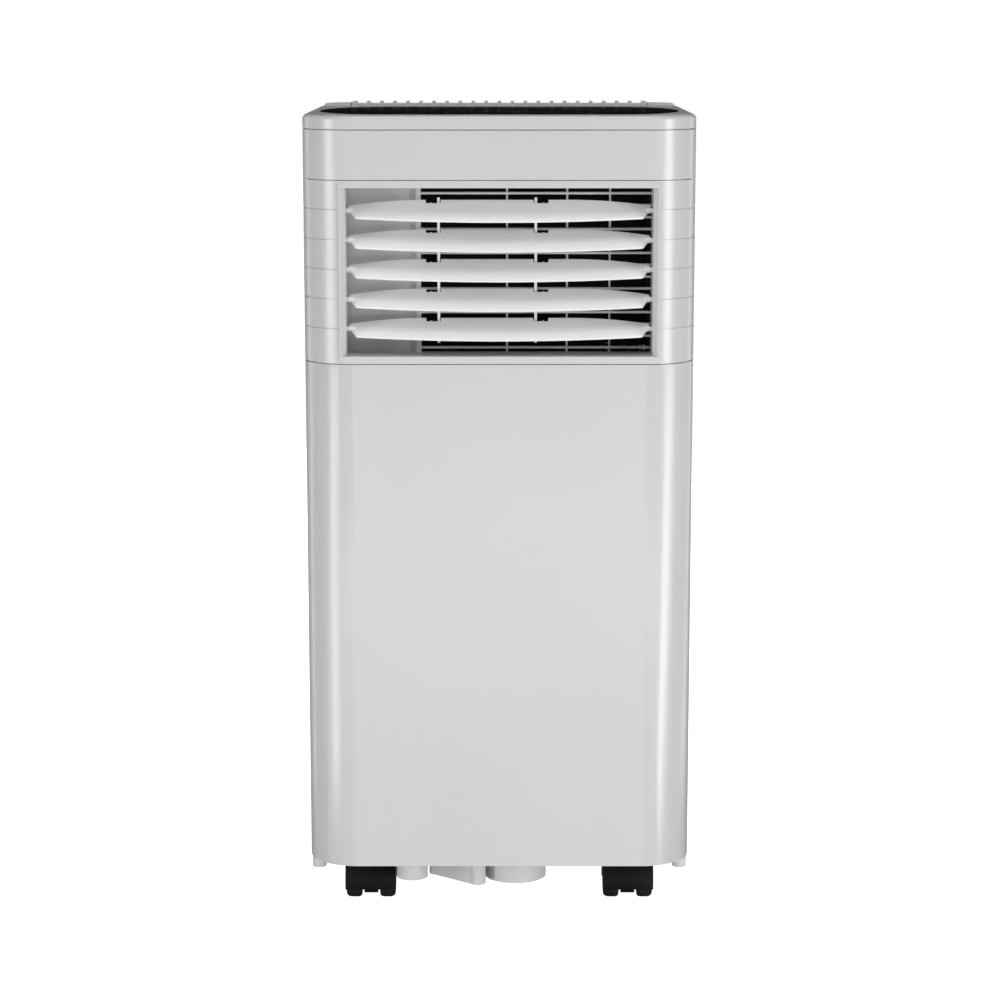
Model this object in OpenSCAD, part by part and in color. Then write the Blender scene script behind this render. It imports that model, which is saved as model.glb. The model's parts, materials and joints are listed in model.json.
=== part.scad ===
// Portable air conditioner: a slim floor unit on four casters, with a louvred outlet at the top of
// the front, a flush control panel on top, and two air intakes and an exhaust outlet at the back.
// Units are millimetres. X is to the right, the front faces -Y, +Z is up, and the casters stand on z = 0.

/* [Casing] */
// Width of the casing
body_w = 330; // [326:1:336]
// Depth of the casing, front to back
body_d = 280; // [278:1:286]
// Height to the top of the rear grille's ribs
body_h = 690; // [688:1:694]
// Radius of the two front corners, seen from above
front_r = 42; // [38:1:46]
// Radius of the two rear corners, seen from above
rear_r = 30; // [26:1:34]
// Wall thickness of the moulded covers
wall = 2.5; // [2:0.1:3]
// Height of the covers' bottom edge above the floor
skirt_z = 43; // [42.5:0.1:43.5]

/* [Outlet] */
// Width of the outlet window
window_w = 256; // [254:1:258]
// Distance between louvre pivots
louvre_pitch = 24.75; // [24.5:0.05:25]
// Tilt of the louvres below level, as they rest
louvre_tilt = 40; // [30:1:50]
// Spacing of the finger guard's bars
guard_pitch = 10; // [9:0.5:11]

/* [Casters] */
// Distance of each caster's stem from the centre, sideways
caster_x = 113; // [112:0.5:114]
// Distance of each caster's stem from the centre, front to back
caster_y = 82; // [80:0.5:84]
// Radius of a caster wheel
wheel_r = 19; // [18.5:0.1:19]

/* [Hidden] */
$fn = 64;

// Casing planes
half_w = body_w / 2;
half_d = body_d / 2;
front_y = -half_d;
gap = 0.8;                          // shadow gap between two covers
fit = 0.3;                          // clearance between nested mouldings
waist_z = 479;                      // top of the lower front cover
frame_top_z = 632;                  // top of the outlet frame
ring_z = body_h - 16;               // bottom of the top cover's ring
rim_z = body_h - 4;                 // top of the rim, level with the control panel
crest_z = body_h - 1.6;             // top of the raised rear corners and of the grille's front rail
crest_y = half_d - 22;
side_seam_y = -60;                  // seam between the front covers and the rear cover
frame_seam_y = front_y + 25;        // rear edge of the outlet frame, on the rounded corner
lap = 8;                            // height of the lips that the covers lap over

// Outlet
window_z0 = 486;
window_z1 = 626;
jamb = 5;                           // thickness of the walls at the window's sides
jamb_back_y = front_y + 31;
chamfer = 5.6;                      // side of the cut along the window's upright edges
louvre_count = 5;
louvre_y = front_y + 16;
louvre_top_z = 606.7;
groove_rise = 1.7;                  // grooves in the sides, above the louvre pivots
louvre_half = window_w / 2 - 2.5;   // half length of a blade
blade_t = 2;
blade_front = 14.5;                 // pivot to the front edge at mid length
blade_rear = 12;                    // pivot to the rear edge
blade_bow = 5;                      // how far the front edge bows out at mid length
pivot_r = 2;
crank = [11, -4];                   // crank pin in the blade's own plane: back, and below
crank_r = 1.1;
link_x = [-52, 29.5];               // left side of each link bar
link_w = 2.2;
duct_x0 = -66;
duct_x1 = window_w / 2;
guard_y = jamb_back_y + 0.3;

// Back of the casing
upper_opening = [-136, 136, 446];   // left, right and bottom of the upper intake
lower_opening = [-120, 120, 86, 236];
exhaust_x = -60;
exhaust_z = 340;
exhaust_r = 62;
upper_spout = [100, 431];           // x and z of the drain spouts and the cord gland
lower_spout = [90, 58];
gland_at = [128, 270];
grip_y = [10.5, 99.5];              // the hand grips' pockets in the two sides
grip_z = [569, 609];

function louvre_z(n) = louvre_top_z - (n - 1) * louvre_pitch;

// ---------------------------------------------------------------- shared shapes

// The casing's outline, drawn in by inset
module outline(inset = 0) {
  w = half_w - inset;
  d = half_d - inset;
  rf = front_r - inset;
  rr = rear_r - inset;
  for (side = [-1, 1]) {
    translate([side * (w - rf), rf - d]) circle(rf);
    translate([side * (w - rr), d - rr]) circle(rr);
  }
  polygon([[-w, rf - d], [rf - w, -d], [w - rf, -d], [w, rf - d],
           [w, d - rr], [w - rr, d], [rr - w, d], [-w, d - rr]]);
}

// A tube with the casing's outline, between two heights
module casing_tube(z0, z1, inset = 0, t = wall) {
  translate([0, 0, z0]) linear_extrude(z1 - z0) difference() {
    outline(inset);
    outline(inset + t);
  }
}

// A lip that is part of the cover below z1, and tucks inside the cover above it as far as z2
module lip(z0, z1, z2) {
  casing_tube(z0, z2, wall + 0.05, 1.6);
  casing_tube(z0, z1 - 0.2, wall - 0.3, 1.9);
}

// A box given by its ranges in x, y and z
module block(x, y, z) {
  translate([x[0], y[0], z[0]]) cube([x[1] - x[0], y[1] - y[0], z[1] - z[0]]);
}

// A cylinder along X or Y that starts at a point
module rod_x(p, r, l) { translate(p) rotate([0, 90, 0]) cylinder(r = r, h = l); }
module rod_y(p, r, l) { translate(p) rotate([-90, 0, 0]) cylinder(r = r, h = l); }

// A straight tube of radius r between two points
module pipe_leg(a, b, r) {
  v = b - a;
  translate(a) rotate([0, acos(v[2] / norm(v)), atan2(v[1], v[0])]) cylinder(r = r, h = norm(v));
}

// A run of tube with a brazed elbow, a little thicker, at each turn
module pipe_run(points, r) {
  last = len(points) - 1;
  for (i = [1 : last]) pipe_leg(points[i - 1], points[i], r);
  for (i = [1 : last - 1]) translate(points[i]) sphere(r + 0.8, $fn = 32);
}

// Everything in front of, or behind, a plane across the casing
module ahead_of(y, z0, z1) { block([-half_w - 1, half_w + 1], [front_y - 1, y], [z0, z1]); }
module behind(y, z0, z1) { block([-half_w - 1, half_w + 1], [y, half_d + 1], [z0, z1]); }

// ---------------------------------------------------------------- base

pan_inset = wall + fit;
pan_floor_z = skirt_z + 0.5;
pan_floor_t = 3;
pan_wall_z = 75;
sump = [14, front_y + 53, 27];      // x, y and radius of the pump sump
boss = [-76, front_y + 23, 13.5];   // x, y and radius of the round foot boss
trough = [[-19, front_y + 31], [-55, front_y + 60]];
trough_r = 7;
rail_x = 158;                       // middle line of the rails along the pan's sides
rail_r = 6;
rail_y = 100;
rail_z = 31;
neck_x = 156.5;                     // the part of a rail that reaches the pan, clear of the covers
neck_half = 4.5;

// A bar with rounded ends along the trough's line
module trough_solid(r, z0, z1) {
  d = (trough[1] - trough[0]) / norm(trough[1] - trough[0]);
  side = [-d[1], d[0]] * (r - 0.5);
  translate([0, 0, z0]) linear_extrude(z1 - z0) {
    for (p = trough) translate(p) circle(r);
    polygon([trough[0] - side, trough[1] - side, trough[1] + side, trough[0] + side]);
  }
}

module base_pan() color("gainsboro") {
  top_z = pan_floor_z + pan_floor_t;
  difference() {
    union() {
      translate([0, 0, pan_floor_z]) linear_extrude(pan_floor_t) outline(pan_inset);
      casing_tube(pan_floor_z, pan_wall_z, pan_inset);
      translate([sump[0], sump[1], 19]) cylinder(r = sump[2], h = top_z - 19);
      translate([boss[0], boss[1], 27]) cylinder(r = boss[2], h = top_z - 27);
      trough_solid(trough_r, 18, top_z);
      for (sx = [-1, 1]) {
        for (sy = [-1, 1]) translate([sx * caster_x, sy * caster_y, skirt_z - 1.6])
          cylinder(r = 14, h = 14);
        block([sx * rail_x - rail_r, sx * rail_x + rail_r], [-rail_y, rail_y], [rail_z, skirt_z - fit]);
        block([sx * neck_x - neck_half, sx * neck_x + neck_half], [-rail_y, rail_y], [rail_z, pan_floor_z + 1]);
        for (y = [-rail_y, rail_y]) translate([sx * rail_x, y, rail_z])
          cylinder(r = rail_r, h = skirt_z - fit - rail_z);
      }
      rod_y([lower_spout[0], half_d - 12, lower_spout[1]], 9, 11 - pan_inset);
    }
    translate([sump[0], sump[1], 21.5]) cylinder(r = sump[2] - wall, h = 30);
    trough_solid(trough_r - wall, 20.5, top_z + 1);
    translate([boss[0], boss[1], 26]) cylinder(r = 8, h = 10);
    for (sx = [-1, 1], sy = [-1, 1])
      translate([sx * caster_x, sy * caster_y, skirt_z - 3]) cylinder(r = 4.55, h = 24);
    rod_y([lower_spout[0], half_d - 20, lower_spout[1]], 6, 30);
  }
}

// ---------------------------------------------------------------- covers

module front_cover() color("whitesmoke") {
  intersection() {
    union() {
      casing_tube(skirt_z, waist_z);
      lip(waist_z - lap, waist_z, window_z0 - 4.5);
    }
    ahead_of(side_seam_y, 0, body_h);
  }
  for (x = [-70, 0, 70], z = [120, 250, 400])
    rod_y([x, front_y + wall - 0.1, z], 3.5, 8);
}

// The horizontal grooves that run on from the louvres round the corner
module side_grooves(back_y) {
  for (n = [1 : louvre_count]) intersection() {
    casing_tube(louvre_z(n) + groove_rise - 0.6, louvre_z(n) + groove_rise + 0.6, -1, 1.8);
    difference() {
      ahead_of(back_y, 0, body_h);
      block([-window_w / 2 - 6, window_w / 2 + 6], [front_y - 2, front_y + 10], [0, body_h]);
    }
  }
}

module upper_casing() color("whitesmoke") difference() {
  union() {
    intersection() {
      casing_tube(waist_z + gap, ring_z - gap);
      ahead_of(side_seam_y, 0, body_h);
    }
    intersection() {
      lip(ring_z - lap, ring_z - gap, ring_z + 5);
      ahead_of(side_seam_y, 0, body_h);
    }
  }
  block([-half_w - 1, half_w + 1], [front_y - 1, frame_seam_y + 0.5], [waist_z, frame_top_z + gap]);
  side_grooves(side_seam_y + 1);
}

module outlet_frame() color("white") difference() {
  union() {
    intersection() {
      casing_tube(waist_z + gap, frame_top_z);
      ahead_of(frame_seam_y, 0, body_h);
    }
    intersection() {
      lip(frame_top_z - lap, frame_top_z, frame_top_z + lap);
      ahead_of(frame_seam_y - 3, 0, body_h);
    }
    for (s = [-1, 1]) {
      inner = s * window_w / 2;
      block([min(inner, inner + s * jamb), max(inner, inner + s * jamb)],
            [front_y + 0.1, jamb_back_y], [window_z0 - 4, window_z1 + 4]);
    }
    for (z = [window_z0 - 3, window_z1])
      block([-window_w / 2 - jamb, window_w / 2 + jamb], [front_y + 0.1, jamb_back_y], [z, z + 3]);
  }
  block([-window_w / 2, window_w / 2], [front_y - 1, front_y + 40], [window_z0, window_z1]);
  for (s = [-1, 1]) translate([s * window_w / 2, front_y, 0]) rotate([0, 0, 45])
    translate([-chamfer / 2, -chamfer / 2, window_z0]) cube([chamfer, chamfer, window_z1 - window_z0]);
  side_grooves(frame_seam_y + 1);
  for (n = [1 : louvre_count])
    rod_x([-window_w / 2 - jamb - 1, louvre_y, louvre_z(n)], pivot_r + 0.05, window_w + 2 * jamb + 2);
}

screw_r = 3.4;

module at_screws() { for (s = [-1, 1], z = [110, 260, 420, 620]) translate([s * 145, 0, z]) children(); }

module rear_cover() color("whitesmoke") difference() {
  union() {
    intersection() {
      casing_tube(skirt_z, ring_z - gap);
      behind(side_seam_y + gap, 0, body_h);
    }
    intersection() {
      casing_tube(skirt_z + 2, ring_z + 5, wall + 0.05, 1.6);
      block([-half_w, half_w], [side_seam_y - 6, side_seam_y + 8], [pan_wall_z + 3, waist_z - lap - 2]);
    }
    intersection() {
      casing_tube(skirt_z + 2, ring_z + 5, wall - 0.3, 1.9);
      block([-half_w, half_w], [side_seam_y + gap + 0.2, side_seam_y + 8], [pan_wall_z + 3, waist_z - lap - 2]);
    }
    rod_y([exhaust_x, half_d - 10, exhaust_z], exhaust_r + 9, 10);
    for (s = [-1, 1]) block([s * (half_w - 12) - 11, s * (half_w - 12) + 11],
                            [grip_y[0] - wall, grip_y[1] + wall], [grip_z[0] - 3, grip_z[1] + 3]);
  }
  for (s = [-1, 1]) block([s * half_w - 20, s * half_w + 20], grip_y, grip_z);
  block([upper_opening[0], upper_opening[1]], [half_d - 12, half_d + 1], [upper_opening[2], body_h]);
  block([lower_opening[0], lower_opening[1]], [half_d - 12, half_d + 1], [lower_opening[2], lower_opening[3]]);
  rod_y([exhaust_x, half_d - 12, exhaust_z], exhaust_r + 5, 14);
  rod_y([lower_spout[0], half_d - 12, lower_spout[1]], 9.7, 14);
  rod_y([upper_spout[0], half_d - 12, upper_spout[1]], 9.3, 14);
  rod_y([gland_at[0], half_d - 12, gland_at[1]], 6.1, 14);
  at_screws() rod_y([0, half_d - 12, 0], screw_r + 0.05, 14);
}

// The top ring, the rim round the control panel, and the bowl below it
panel_x = 155;                      // half width of the control panel
panel_y = [front_y + 10, half_d - 48];
panel_ry = (panel_y[1] - panel_y[0]) / 2;
panel_rx = 55;
panel_t = 2.5;

// The panel's outline: straight front and back edges, and half an ellipse at each end
module panel_outline(inset = 0) {
  rx = panel_rx - inset;
  ry = panel_ry - inset;
  steps = 24;
  cx = panel_x - panel_rx;
  translate([0, (panel_y[0] + panel_y[1]) / 2]) polygon(concat(
    [for (i = [0 : steps]) [cx + rx * cos(i * 180 / steps - 90), ry * sin(i * 180 / steps - 90)]],
    [for (i = [0 : steps]) [rx * cos(i * 180 / steps + 90) - cx, ry * sin(i * 180 / steps + 90)]]));
}

module top_cover() color("whitesmoke") difference() {
  union() {
    translate([0, 0, ring_z]) linear_extrude(rim_z - ring_z - 4) outline(0);
    translate([0, 0, rim_z - 4]) linear_extrude(2.4) outline(0.8);
    translate([0, 0, rim_z - 1.6]) linear_extrude(1.6) outline(2.6);
    intersection() {
      translate([0, 0, rim_z - 1]) linear_extrude(crest_z - rim_z + 1) outline(3.4);
      block([-half_w, half_w], [crest_y, half_d], [rim_z - 2, body_h]);
    }
  }
  translate([0, 0, ring_z - 1]) linear_extrude(rim_z - ring_z - 5) outline(wall);
  translate([0, 0, rim_z - panel_t - 0.5]) linear_extrude(5) panel_outline(-0.3);
  translate([0, 0, ring_z - 1]) linear_extrude(20) panel_outline(12);
  block([upper_opening[0] - 1, upper_opening[1] + 1], [crest_y - 1, half_d + 1], [ring_z - 1, body_h]);
}

// ---------------------------------------------------------------- control panel

key_r = 8;
key_y = front_y + 46;
key_pitch = 30;
key_travel = 0.8;
display = [60, 22];
display_y = front_y + 92;
board_z = ring_z - 2.5;
panel_z = rim_z - 0.1;

function key_x(n) = (n - 3.5) * key_pitch;

module control_panel() color("black") difference() {
  translate([0, 0, panel_z - panel_t]) linear_extrude(panel_t) panel_outline(0);
  for (n = [1 : 6]) translate([key_x(n), key_y, panel_z - 5]) cylinder(r = key_r + fit, h = 10);
  translate([-display[0] / 2 - 0.2, display_y - display[1] / 2 - 0.2, panel_z - 1.2])
    cube([display[0] + 0.4, display[1] + 0.4, 5]);
}

module display_window() color("dimgray")
  translate([-display[0] / 2, display_y - display[1] / 2, panel_z - 1.2]) cube([display[0], display[1], 1.2]);

// One flush key: a cap, a flange that holds it under the panel, and a stem
module key(n) color("black") translate([key_x(n), key_y, 0]) {
  translate([0, 0, panel_z - panel_t - 0.5]) cylinder(r = key_r, h = panel_t + 0.5);
  translate([0, 0, panel_z - panel_t - 1.8]) cylinder(r = key_r + 1.5, h = 1.4);
  translate([0, 0, board_z + 1 + 2 * key_travel]) cylinder(r = 2.5, h = panel_z - panel_t - board_z - 3);
}

module key_power() { key(1); }
module key_mode() { key(2); }
module key_fan() { key(3); }
module key_timer() { key(4); }
module key_up() { key(5); }
module key_down() { key(6); }

module control_board() color("darkgreen") {
  block([-100, 100], [front_y + 30, front_y + 130], [board_z - 1.6, board_z]);
  for (n = [1 : 6]) translate([key_x(n), key_y, board_z]) cylinder(r = 3, h = 1);
  block([-28, 28], [display_y - 10, display_y + 10], [board_z, board_z + 5]);
}

// ---------------------------------------------------------------- louvres

blade_end = louvre_half - 9;        // where the blade starts to narrow towards its pivot
blade_tip = [[-0.1, -10.2], [3, -9.2], [5, -6.4], [7, -3], [9, -2], [9, 5], [-0.1, 6.8]];
taper_l = 65;                       // length of each end over which the rear edge curves in
taper = 7;                          // how far it curves in at the tip
notch_w = 12;
notch_bottom = 8;
link_side = [1, -1];                // which end of its notch each bar runs at

function notch_x(i) = link_side[i] > 0 ? link_x[i] + link_w + 0.6 - notch_w : link_x[i] - 0.6;
function ear_x(i) = link_side[i] > 0 ? notch_x(i) + 3 : notch_x(i) + notch_w - 4.6;

// What is cut off a blade's rear edge at its right-hand end
module end_taper() {
  steps = 8;
  translate([0, 0, -blade_t]) linear_extrude(2 * blade_t) polygon(concat(
    [[louvre_half + 1, blade_rear + 1], [louvre_half - taper_l, blade_rear + 1]],
    [for (i = [1 : steps]) [louvre_half - taper_l * (1 - i / steps), blade_rear - taper * pow(i / steps, 2)]],
    [[louvre_half + 1, blade_rear - taper]]));
}

module blade() {
  bow_r = (pow(louvre_half, 2) + pow(blade_bow, 2)) / (2 * blade_bow);
  difference() {
    union() {
      intersection() {
        translate([0, bow_r - blade_front, -blade_t / 2]) cylinder(r = bow_r, h = blade_t, $fn = 1080);
        block([-blade_end, blade_end], [-blade_front - 1, blade_rear], [-blade_t / 2, blade_t / 2]);
      }
      for (s = [0, 1]) mirror([s, 0, 0])
        translate([blade_end, 0, -blade_t / 2]) linear_extrude(blade_t) polygon(blade_tip);
    }
    for (i = [0, 1])
      block([notch_x(i), notch_x(i) + notch_w], [notch_bottom, blade_rear + 1], [-blade_t, blade_t]);
    for (s = [0, 1]) mirror([s, 0, 0]) end_taper();
  }
  for (s = [-1, 1]) rod_x([s > 0 ? louvre_half - 8 : -window_w / 2 - 4, 0, 0], pivot_r, 14.5);
  for (i = [0, 1]) {
    translate([ear_x(i), 0, 0]) rotate([90, 0, 90]) linear_extrude(1.6) {
      polygon([[4, -0.5], [notch_bottom - 0.2, -0.5],
               [crank[0] + 1, crank[1] + 1.6], [crank[0] - 1, crank[1] - 1.8]]);
      translate(crank) circle(2);
    }
    rod_x([min(ear_x(i), link_x[i] - 0.3), crank[0], crank[1]], crank_r,
          max(ear_x(i) + 1.6, link_x[i] + link_w + 0.3) - min(ear_x(i), link_x[i] - 0.3));
  }
}

module louvre(n) color("whitesmoke")
  translate([0, louvre_y, louvre_z(n)]) rotate([louvre_tilt, 0, 0]) blade();

module louvre_1() { louvre(1); }
module louvre_2() { louvre(2); }
module louvre_3() { louvre(3); }
module louvre_4() { louvre(4); }
module louvre_5() { louvre(5); }

// A bar that joins the crank pins of all the louvres
module louvre_link(i) color("white") {
  pin_y = louvre_y + crank[0] * cos(louvre_tilt) - crank[1] * sin(louvre_tilt);
  pin_dz = crank[0] * sin(louvre_tilt) + crank[1] * cos(louvre_tilt);
  difference() {
    union() {
      block([link_x[i], link_x[i] + link_w], [pin_y - 2, pin_y + 2],
            [louvre_z(louvre_count) + pin_dz - 17, louvre_z(1) + pin_dz + 6]);
      for (n = [1 : louvre_count]) rod_x([link_x[i], pin_y, louvre_z(n) + pin_dz], 2.9, link_w);
    }
    for (n = [1 : louvre_count])
      rod_x([link_x[i] - 1, pin_y, louvre_z(n) + pin_dz], crank_r + 0.06, link_w + 2);
  }
}

module louvre_link_left() { louvre_link(0); }
module louvre_link_right() { louvre_link(1); }

// ---------------------------------------------------------------- air path, upper half

guard_bars = [6.5, 57, 93];         // places of the guard's upright bars
scroll_x = 28;
scroll_z = 402;
scroll_r = 98;
scroll_y = [front_y + 50, front_y + 118];
duct_front_y = guard_y + 4;

module finger_guard() color("silver") {
  difference() {
    block([duct_x0 - 4, duct_x1 + 4], [guard_y, guard_y + 3.4], [window_z0 - 4, window_z1 + 4]);
    block([duct_x0, duct_x1], [guard_y - 1, guard_y + 5], [window_z0, window_z1]);
  }
  for (z = [window_z0 + 4 : guard_pitch : window_z1 - 3])
    rod_x([duct_x0 - 1, guard_y + 1.1, z], 1.1, duct_x1 - duct_x0 + 2);
  for (x = guard_bars)
    translate([x, guard_y + 2.4, window_z0 - 1]) cylinder(r = 0.9, h = window_z1 - window_z0 + 2);
}

module outlet_duct() color("lightgray") {
  difference() {
    union() {
      block([-window_w / 2 - jamb, window_w / 2 + jamb], [duct_front_y, duct_front_y + 2],
            [window_z0 - 4, window_z1 + 4]);
      block([duct_x0 - 2, duct_x1 + 2], [duct_front_y, scroll_y[1] + 2], [window_z0 - 2, window_z1 + 2]);
      rod_y([scroll_x, scroll_y[0] - 2, scroll_z], scroll_r + 2, scroll_y[1] - scroll_y[0] + 4);
    }
    block([duct_x0, duct_x1], [duct_front_y - 1, scroll_y[1]], [window_z0, window_z1]);
    rod_y([scroll_x, scroll_y[0], scroll_z], scroll_r, scroll_y[1] - scroll_y[0]);
    block([duct_x0 + 14, duct_x1 - 2], [scroll_y[0], scroll_y[1]], [scroll_z, window_z1]);
    rod_y([scroll_x, scroll_y[1] - 1, scroll_z], 56, 6);
    rod_y([scroll_x, scroll_y[0] - 4, scroll_z], 20, 6);
  }
}

// A drum fan with its axis along Y and its closed end at y = 0
module fan_wheel(r, w, vanes, shaft_l) rotate([-90, 0, 0]) {
  cylinder(r = r, h = 2);
  cylinder(r = 11, h = w / 2);
  translate([0, 0, -shaft_l]) cylinder(r = 4, h = shaft_l + 1);
  translate([0, 0, w - 3]) difference() {
    cylinder(r = r, h = 3);
    translate([0, 0, -1]) cylinder(r = r - 10, h = 5);
  }
  for (i = [1 : vanes]) rotate([0, 0, i * 360 / vanes])
    translate([r - 9.6, -0.6, 1]) cube([9, 1.2, w - 2]);
}

// A flat electric motor whose front face is at y = 0, with a bore for the wheel's shaft
module fan_motor(r, l) rotate([90, 0, 0]) difference() {
  union() {
    cylinder(r = r, h = l);
    cylinder(r = r + 5, h = 3);
  }
  translate([0, 0, -1]) cylinder(r = 4.06, h = l - 4);
}

module evaporator_fan_wheel() color("dimgray")
  translate([scroll_x, scroll_y[0] + 5, scroll_z]) fan_wheel(62, 54, 24, 22);

module evaporator_fan_motor() color("gray")
  translate([scroll_x, scroll_y[0] - 2.2, scroll_z]) fan_motor(36, 34);

fin_x = 116;

// A finned coil: a fin block, two end plates, and the return bends of its tubes
module coil(y0, y1, z0, z1, bends) {
  bend_r = 8;
  tube_r = 3.5;
  block([-fin_x, fin_x], [y0 + 2, y1 - 2], [z0, z1]);
  for (s = [-1, 1]) {
    block([s * fin_x - 0.75, s * fin_x + 0.75], [y0, y1], [z0 - 2, z1 + 2]);
    for (i = [0 : bends - 1]) translate([s * fin_x, (y0 + y1) / 2, z0 + (i + 0.5) * (z1 - z0) / bends])
      rotate([s * 30, 0, 0]) rotate([90, 0, s > 0 ? 0 : 180]) rotate([0, 0, -90])
        rotate_extrude(angle = 180) translate([bend_r, 0]) circle(tube_r);
  }
}

module evaporator_coil() color("silver") coil(60, 100, 442, 636, 6);
module condenser_coil() color("silver") coil(70, 105, 86, 248, 5);

module drain_tray() color("white") difference() {
  union() {
    block([-134, 134], [54, 108], [424, 440]);
    rod_y([upper_spout[0], 107, upper_spout[1]], 7, half_d - 4.2 - 107);
  }
  block([-132, 132], [56, 106], [426, 441]);
  rod_y([upper_spout[0], 104, upper_spout[1]], 4.5, 40);
}

module upper_drain_plug() color("dimgray") {
  rod_y([upper_spout[0], half_d - 14, upper_spout[1]], 4.42, 11);
  rod_y([upper_spout[0], half_d - 4, upper_spout[1]], 8.8, 3.8);
}

// ---------------------------------------------------------------- air path, lower half

partition_z = [262, 266];
cond_x = 45;
cond_z = 165;
cond_r = 88;
cond_y = [-13, 48];
chimney = [-45, 3];

module partition() color("white") difference() {
  translate([0, 0, partition_z[0]]) linear_extrude(partition_z[1] - partition_z[0]) outline(8);
  block(chimney, cond_y, [partition_z[0] - 1, partition_z[1] + 1]);
  translate([142, 85, partition_z[0] - 1]) cylinder(r = 7, h = 6);
  translate([-146, 88, partition_z[0] - 1]) cylinder(r = 5, h = 6);
}

module condenser_scroll() color("lightgray") difference() {
  union() {
    rod_y([cond_x, cond_y[0] - 2, cond_z], cond_r + 2, cond_y[1] - cond_y[0] + 4);
    block([chimney[0] - 2, chimney[1] + 2], [cond_y[0] - 2, cond_y[1] + 2], [cond_z, partition_z[0]]);
  }
  rod_y([cond_x, cond_y[0], cond_z], cond_r, cond_y[1] - cond_y[0]);
  block([chimney[0] + 2, chimney[1]], cond_y, [cond_z, partition_z[0] + 1]);
  rod_y([cond_x, cond_y[1] - 1, cond_z], 64, 6);
  rod_y([cond_x, cond_y[0] - 4, cond_z], 20, 6);
}

module condenser_fan_wheel() color("dimgray")
  translate([cond_x, cond_y[0] + 3, cond_z]) fan_wheel(70, 52, 24, 20);

module condenser_fan_motor() color("gray")
  translate([cond_x, cond_y[0] - 2.2, cond_z]) fan_motor(36, 38);

module exhaust_duct() color("lightgray") difference() {
  block([-132, chimney[1] + 4], [cond_y[0] - 2, 128], [partition_z[1], 415]);
  block([-130, chimney[1] + 2], [cond_y[0], 126], [partition_z[1] + 2, 413]);
  block(chimney, cond_y, [partition_z[1] - 1, partition_z[1] + 3]);
  rod_y([exhaust_x, 120, exhaust_z], exhaust_r, 20);
}

module exhaust_collar() color("white") difference() {
  rod_y([exhaust_x, 128, exhaust_z], exhaust_r + 4.5, half_d - 128.2);
  rod_y([exhaust_x, 127, exhaust_z], exhaust_r, 20);
}

// ---------------------------------------------------------------- refrigeration

comp = [-70, -62];
comp_r = 50;
comp_z = [pan_floor_z + pan_floor_t + 12, 244];
acc = [0, -90];
pipe_r = 4;
pipe_end_x = fin_x + 1.2;           // where the pipes meet the coils' end plates

module at_grommets() {
  for (a = [0, 120, 240]) translate([comp[0] + 56 * cos(a), comp[1] + 56 * sin(a), 0]) children();
}

module compressor() color("dimgray") difference() {
  compressor_shell();
  translate([comp[0], comp[1], comp_z[1] - 5.2]) cylinder(r = pipe_r + 0.05, h = 10);
}

module compressor_shell() {
  difference() {
    union() {
      translate([comp[0], comp[1], comp_z[0]]) cylinder(r = comp_r, h = 3);
      at_grommets() translate([0, 0, comp_z[0]]) cylinder(r = 9, h = 3);
    }
    at_grommets() translate([0, 0, comp_z[0] - 1]) cylinder(r = 3, h = 5);
  }
  intersection() {
    translate([comp[0], comp[1], comp_z[0] + 3]) cylinder(r = comp_r - 3, h = comp_z[1] - comp_z[0] - 3);
    translate([comp[0], comp[1], comp_z[1] - 100]) sphere(100);
    translate([comp[0], comp[1], comp_z[0] - 30 + 120]) sphere(120);
  }
}

module compressor_grommets() color("black") at_grommets() difference() {
  translate([0, 0, pan_floor_z + pan_floor_t]) cylinder(r = 8, h = 12);
  translate([0, 0, pan_floor_z]) cylinder(r = 3, h = 20);
}

module accumulator() color("dimgray") translate([acc[0], acc[1], 0]) difference() {
  union() {
    translate([0, 0, 80]) cylinder(r = 18, h = 100);
    for (z = [80, 180]) translate([0, 0, z]) sphere(18);
  }
  translate([0, 0, 192.8]) cylinder(r = pipe_r + 0.05, h = 10);
}

module refrigerant_pipes() color("peru") {
  pipe_run([[comp[0], comp[1], comp_z[1] - 5], [comp[0], comp[1], 254], [-142, comp[1], 254],
            [-142, 88, 254], [-142, 88, 215.6], [-pipe_end_x, 88, 215.6]], pipe_r);
  pipe_run([[pipe_end_x, 80, 474.3], [142, 80, 474.3], [142, 85, 254], [142, acc[1], 254],
            [acc[0], acc[1], 254], [acc[0], acc[1], 193]], pipe_r);
  pipe_run([[-pipe_end_x, 88, 118.4], [-146, 88, 118.4], [-146, 88, 474.3],
            [-pipe_end_x, 80, 474.3]], pipe_r / 2);
}

splash = [88, pan_floor_z + pan_floor_t + 18];

module splash_motor() color("gray") difference() {
  rod_x([-50, splash[0], splash[1]], 14, 25);
  rod_x([-45, splash[0], splash[1]], 2.56, 25);
}

module splash_wheel() color("white") {
  rod_x([-42, splash[0], splash[1]], 2.5, 32);
  rod_x([-20, splash[0], splash[1]], 8, 8);
  for (i = [0 : 5]) translate([-20, splash[0], splash[1]]) rotate([i * 60, 0, 0])
    translate([0, -0.8, 6]) cube([8, 1.6, 10]);
}

module electrical_box() color("lightsteelblue") difference() {
  block([76, 148], [front_y + 16, front_y + 46], [270, 440]);
  block([78, 146], [front_y + 14, front_y + 44], [272, 438]);
}

module run_capacitor() color("silver") translate([-104, front_y + 44, partition_z[1]]) {
  cylinder(r = 17, h = 70);
  for (x = [-5, 5]) translate([x, 0, 70]) cylinder(r = 2, h = 6);
}

// ---------------------------------------------------------------- intakes at the back

grille_pitch = 12;
grille_x = 135.4;
rib_t = 3;
rib_depth = 5;
rib_bend = 10;                      // radius of the rib where it turns over the top edge

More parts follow.
